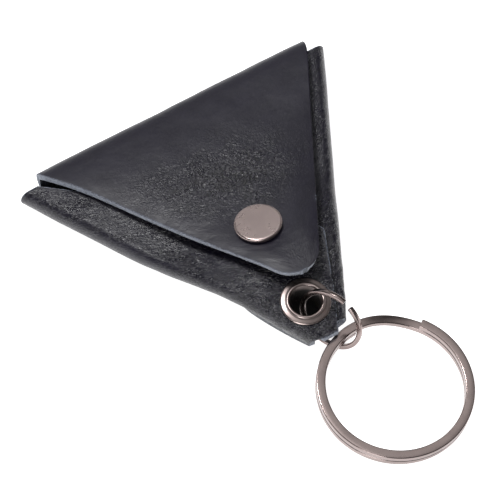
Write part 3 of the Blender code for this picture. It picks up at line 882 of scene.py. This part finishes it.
def make_snap():
    """Cap and socket on the flap, stud and its post on the wings, and the spring in the socket."""
    gap = SEAT_GAP
    over = leaning(SNAP_FOOT, SNAP_LEAN, SNAP_SPACE + LEATHER)
    under = leaning(SNAP_FOOT, SNAP_LEAN, SNAP_SPACE)
    above = leaning(SNAP_FOOT, SNAP_LEAN)
    rim = 0.42
    arc = [(CAP_R - rim + rim * math.sin(a), gap + CAP_T - rim + rim * math.cos(a))
           for a in np.linspace(0.0, math.pi / 2, 8)]
    cap = turned("snap_cap_turned", [(0.0, gap + CAP_T), (2.0, gap + CAP_T)] + arc + [
        (CAP_R - 0.1, gap + 0.12), (CAP_R - 0.3, gap), (CAP_R - 0.75, gap),
        (CAP_R - 0.75, gap + 0.3), (POST_R, gap + 0.3), (POST_R, -LEATHER - 0.35), (0.0, -LEATHER - 0.35),
    ], over, GUNMETAL_CAP, radius=0.05)
    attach(cap, "flap")
    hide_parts("snap_cap")

    mouth = KNOB_R + 0.4
    groove = KNOB_R + 0.95
    roof = gap + 0.25
    socket = turned("snap_socket_turned", [
        (SOCKET_R, -gap), (SOCKET_R, -gap - 0.35), (SOCKET_R - 0.5, -gap - 0.45), (SOCKET_R - 0.5, -1.7),
        (mouth, -1.7), (mouth, -1.4), (groove, -1.4), (groove, -roof - 0.2), (mouth, -roof),
        (POST_R + 0.3, -roof), (POST_R + 0.3, -gap),
    ], under, GUNMETAL, radius=0.1)
    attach(socket, "flap")
    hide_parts("snap_socket")

    stud = turned("snap_stud_turned", [
        (KNOB_R - 0.3, gap + 1.45), (KNOB_R, gap + 1.2), (KNOB_R, gap + 0.9), (KNOB_R - 0.25, gap + 0.7),
        (KNOB_R - 0.25, gap + 0.35), (STUD_R - 0.4, gap + 0.35), (STUD_R, gap), (POST_R + 0.25, gap),
        (POST_R + 0.25, gap + 1.45),
    ], above, GUNMETAL, radius=0.1)
    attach(stud, "pouch")
    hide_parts("snap_stud")

    plies = 2.0 * LEATHER + PLY_GAP
    post = turned("stud_post_turned", [
        (0.0, gap + 1.2), (POST_R, gap + 1.2), (POST_R, -plies - gap), (STUD_R, -plies - gap),
        (STUD_R, -plies - gap - 0.45), (STUD_R - 0.3, -plies - gap - 0.65), (0.0, -plies - gap - 0.65),
    ], above, GUNMETAL, radius=0.1)
    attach(post, "pouch")
    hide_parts("stud_post")

    spring_r = KNOB_R + 0.55
    wire_r = 0.2
    count = 90
    angles = np.radians(np.linspace(15.0, 345.0, count))
    matrix = np.array(under)
    ring = np.column_stack([
        spring_r * np.cos(angles), spring_r * np.sin(angles), np.full(count, -1.05)])
    centres = ring @ matrix[:3, :3].T + matrix[:3, 3]
    side = np.column_stack([np.cos(angles), np.sin(angles), np.zeros(count)]) @ matrix[:3, :3].T
    up = np.tile(matrix[:3, 2], (count, 1))
    round_section = [
        (wire_r * math.cos(a), wire_r * math.sin(a))
        for a in np.linspace(0, 2 * math.pi, 12, endpoint=False)]
    spring = swept("socket_spring_wire", centres, side, up, round_section, SPRING_STEEL)
    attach(spring, "flap")
    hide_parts("socket_spring")


make_snap()

# ---------------------------------------------------------------- eyelet


def make_eyelet():
    """The flanged barrel, curled over its washer at the back."""
    gap = SEAT_GAP
    depth = 3.0 * LEATHER + 2.0 * PLY_GAP + 0.25
    place = leaning(EYE_FOOT, EYE_LEAN)
    outer = HOLE_R + BARREL_T
    end = -depth - 0.8
    roll = [(HOLE_R + 0.42 - 0.37 * math.cos(a), gap + 0.36 + 0.36 * math.sin(a))
            for a in np.linspace(0.0, math.radians(150.0), 12)]
    eyelet = turned("eyelet_turned", [(HOLE_R + 0.02, gap)] + roll + [
        (FLANGE_R - 0.9, gap + 0.42), (FLANGE_R - 0.25, gap + 0.26), (FLANGE_R, gap + 0.08),
        (FLANGE_R - 0.08, gap), (outer, gap), (outer, end + 0.25), (outer + 0.55, end + 0.25),
        (outer + 0.55, end), (HOLE_R, end),
    ], place, GUNMETAL_EYELET, radius=0.06, steps=128)
    # Mark the bore, which its material shades
    corners = np.array([v.co for v in eyelet.data.vertices]) / MM
    local = (corners - np.array(place.translation)) @ np.array(place.to_3x3())
    inside = (np.hypot(local[:, 0], local[:, 1]) < HOLE_R + 0.15) & (local[:, 2] < -1.0)
    add_attribute(eyelet.data, "inside", inside.astype(float))
    washer = turned("eyelet_washer_turned", [
        (outer + 0.2, -depth - gap), (FLANGE_R - 0.3, -depth - gap),
        (FLANGE_R - 0.3, -depth - gap - 0.3), (outer + 0.2, -depth - gap - 0.3),
    ], place, GUNMETAL, radius=0.1)
    for piece, node in ((eyelet, "eyelet"), (washer, "eyelet_washer")):
        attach(piece, "pouch")
        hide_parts(node)


make_eyelet()

# ---------------------------------------------------------------- rings


def rounded_box(half_w, half_h, radius, steps=4):
    """A rectangle's outline with round corners, as (side, up) offsets."""
    result = []
    for cx, cy, start in ((1, 1, 0), (-1, 1, 90), (-1, -1, 180), (1, -1, 270)):
        for k in range(steps + 1):
            a = math.radians(start + 90.0 * k / steps)
            result.append((
                cx * (half_w - radius) + radius * math.cos(a),
                cy * (half_h - radius) + radius * math.sin(a)))
    return result


def make_jump_ring():
    """An open ring of wire."""
    out = np.array(JUMP_PLANE_OUT) / np.linalg.norm(JUMP_PLANE_OUT)
    up = np.array(JUMP_PLANE_UP) / np.linalg.norm(JUMP_PLANE_UP)
    up = up - out * up.dot(out)
    up /= np.linalg.norm(up)
    normal = np.cross(out, up)
    count = 160
    angles = JUMP_GAP_AT + JUMP_GAP_HALF + 2.0 * (math.pi - JUMP_GAP_HALF) * np.arange(count + 1) / count
    side = np.cos(angles)[:, None] * out + np.sin(angles)[:, None] * up
    centres = JUMP_CENTRE + JUMP_R * side
    section = rounded_box(0.52, 0.50, 0.26, 5)
    ring = swept("jump_ring_wire", centres, side, np.tile(normal, (count + 1, 1)), section, GUNMETAL)
    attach(ring, "jump_ring")
    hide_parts("jump_ring")


def make_key_ring():
    """One flat wire in two turns, with a step from the lower to the upper."""
    middle = KEY_R - 0.5 * KEY_WIDTH
    total = 4.0 * math.pi - KEY_STEP - KEY_END_GAP
    count = 560
    a = total * np.arange(count + 1) / count
    rise = KEY_PITCH * ease((a - (2.0 * math.pi - KEY_STEP)) / KEY_STEP)
    turn = KEY_LOWER_END + a
    tilt = Matrix.Rotation(KEY_TILT_Y, 4, "Y") @ Matrix.Rotation(KEY_TILT_X, 4, "X")
    place = np.array(Matrix.Translation(KEY_CENTRE) @ tilt)
    radial = np.column_stack([np.cos(turn), np.sin(turn), np.zeros(count + 1)])
    centres = middle * radial + np.outer(rise + 0.5 * KEY_TURN, (0.0, 0.0, 1.0))
    centres = centres @ place[:3, :3].T + place[:3, 3]
    side = radial @ place[:3, :3].T
    up = np.tile(place[:3, 2], (count + 1, 1))
    section = rounded_box(0.5 * KEY_WIDTH, 0.5 * KEY_TURN, 0.24, 4)
    ring = swept("key_ring_wire", centres, side, up, section, GUNMETAL)
    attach(ring, "key_ring")
    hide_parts("key_ring")


make_jump_ring()
make_key_ring()

# ---------------------------------------------------------------- floor, light and camera

FLOOR_HALF = 6.0
FLOOR_DROP = 0.00002
SHADE_AT = (FASTENER_X + 2.1, EYE_Y + 3.6)
SHADE_R = (3.6, 5.2)


def white_floor():
    """A pale table that glows a little, with a painted shadow, nearly black, in one spot under the raised
    eyelet end.
    """
    n = Nodes("floor_white")
    spot = n.add("ShaderNodeTexCoord").outputs["Object"]
    offset = n.add("ShaderNodeVectorMath", {"operation": "SUBTRACT"})
    n.feed(offset.inputs[0], spot)
    n.feed(offset.inputs[1], (SHADE_AT[0] * MM, SHADE_AT[1] * MM, 0.0))
    length = n.add("ShaderNodeVectorMath", {"operation": "LENGTH"})
    n.feed(length.inputs[0], offset.outputs[0])
    # Painted shadow: colour and glow fall to nearly black within SHADE_R of SHADE_AT
    open_share = n.remap(length.outputs["Value"], SHADE_R[0] * MM, SHADE_R[1] * MM, 0.0, 1.0)
    colour = n.mix(open_share, FLOOR_SHADE, FLOOR_WHITE)
    glow = n.math("MULTIPLY", open_share, 0.92)
    return n.set(
        Base_Color=colour, Roughness=0.85,
        Emission_Color=(1.0, 1.0, 1.0, 1.0), Emission_Strength=glow)


floor_mesh = bpy.data.meshes.new("floor")
floor_mesh.from_pydata(
    [(x * FLOOR_HALF, y * FLOOR_HALF, 0.0) for x, y in ((-1, -1), (1, -1), (1, 1), (-1, 1))],
    [], [(0, 1, 2, 3)])
floor_mesh.materials.append(white_floor())
floor = bpy.data.objects.new("floor", floor_mesh)
bpy.context.scene.collection.objects.link(floor)
floor.location.z = -FLOOR_DROP


def area_light(name, place, aim, size, power):
    data = bpy.data.lights.new(name, "AREA")
    data.shape = "RECTANGLE"
    data.size, data.size_y = size
    data.energy = power
    lamp = bpy.data.objects.new(name, data)
    bpy.context.scene.collection.objects.link(lamp)
    lamp.location = place
    lamp.rotation_euler = (Vector(aim) - Vector(place)).to_track_quat("-Z", "Y").to_euler()


CENTRE = (0.0, -0.025, 0.005)
area_light("top_softbox", (0.31, 0.42, 0.88), CENTRE, (0.70, 1.00), 0.72)
area_light("top_lamp", (0.23, 0.60, 0.76), (-0.004, -0.004, 0.009), (0.12, 0.10), 0.18)
area_light("left_softbox", (-0.12, 0.34, 0.94), (-0.022, -0.010, 0.006), (0.20, 0.18), 5.2)
area_light("ring_softbox", (0.42, 0.10, 0.88), (0.0, -0.065, 0.0), (0.50, 0.35), 0.26)
area_light("overhead_softbox", (0.0, 0.03, 1.0), CENTRE, (0.50, 0.45), 0.9)
area_light("front_fill", (-0.55, -0.60, 0.45), CENTRE, (0.35, 0.35), 3.0)
area_light("back_softbox", (0.15, 0.95, 0.30), CENTRE, (0.7, 0.25), 0.35)

world = bpy.data.worlds.new("studio")
world.use_nodes = True
background = world.node_tree.nodes["Background"]
background.inputs["Color"].default_value = (1.0, 1.0, 1.0, 1.0)
background.inputs["Strength"].default_value = 0.10
bpy.context.scene.world = world

CAM_ELEVATION = math.radians(60.0)
CAM_AZIMUTH = math.radians(-30.93)
CAM_DISTANCE = 0.6
CAM_TARGET = Vector((-1.38, -19.75, 0.0)) * MM
LENS_MM = 208.872
SENSOR_MM = 36.0

camera_data = bpy.data.cameras.new("camera")
camera_data.sensor_width = SENSOR_MM
camera_data.lens = LENS_MM
camera_data.clip_start = 0.01
camera = bpy.data.objects.new("camera", camera_data)
bpy.context.scene.collection.objects.link(camera)
to_camera = Vector((
    math.sin(CAM_AZIMUTH) * math.cos(CAM_ELEVATION),
    -math.cos(CAM_AZIMUTH) * math.cos(CAM_ELEVATION),
    math.sin(CAM_ELEVATION)))
camera.location = CAM_TARGET + to_camera * CAM_DISTANCE
camera.rotation_euler = (-to_camera).to_track_quat("-Z", "Y").to_euler()
bpy.context.scene.camera = camera
bpy.context.scene.view_settings.view_transform = "Standard"
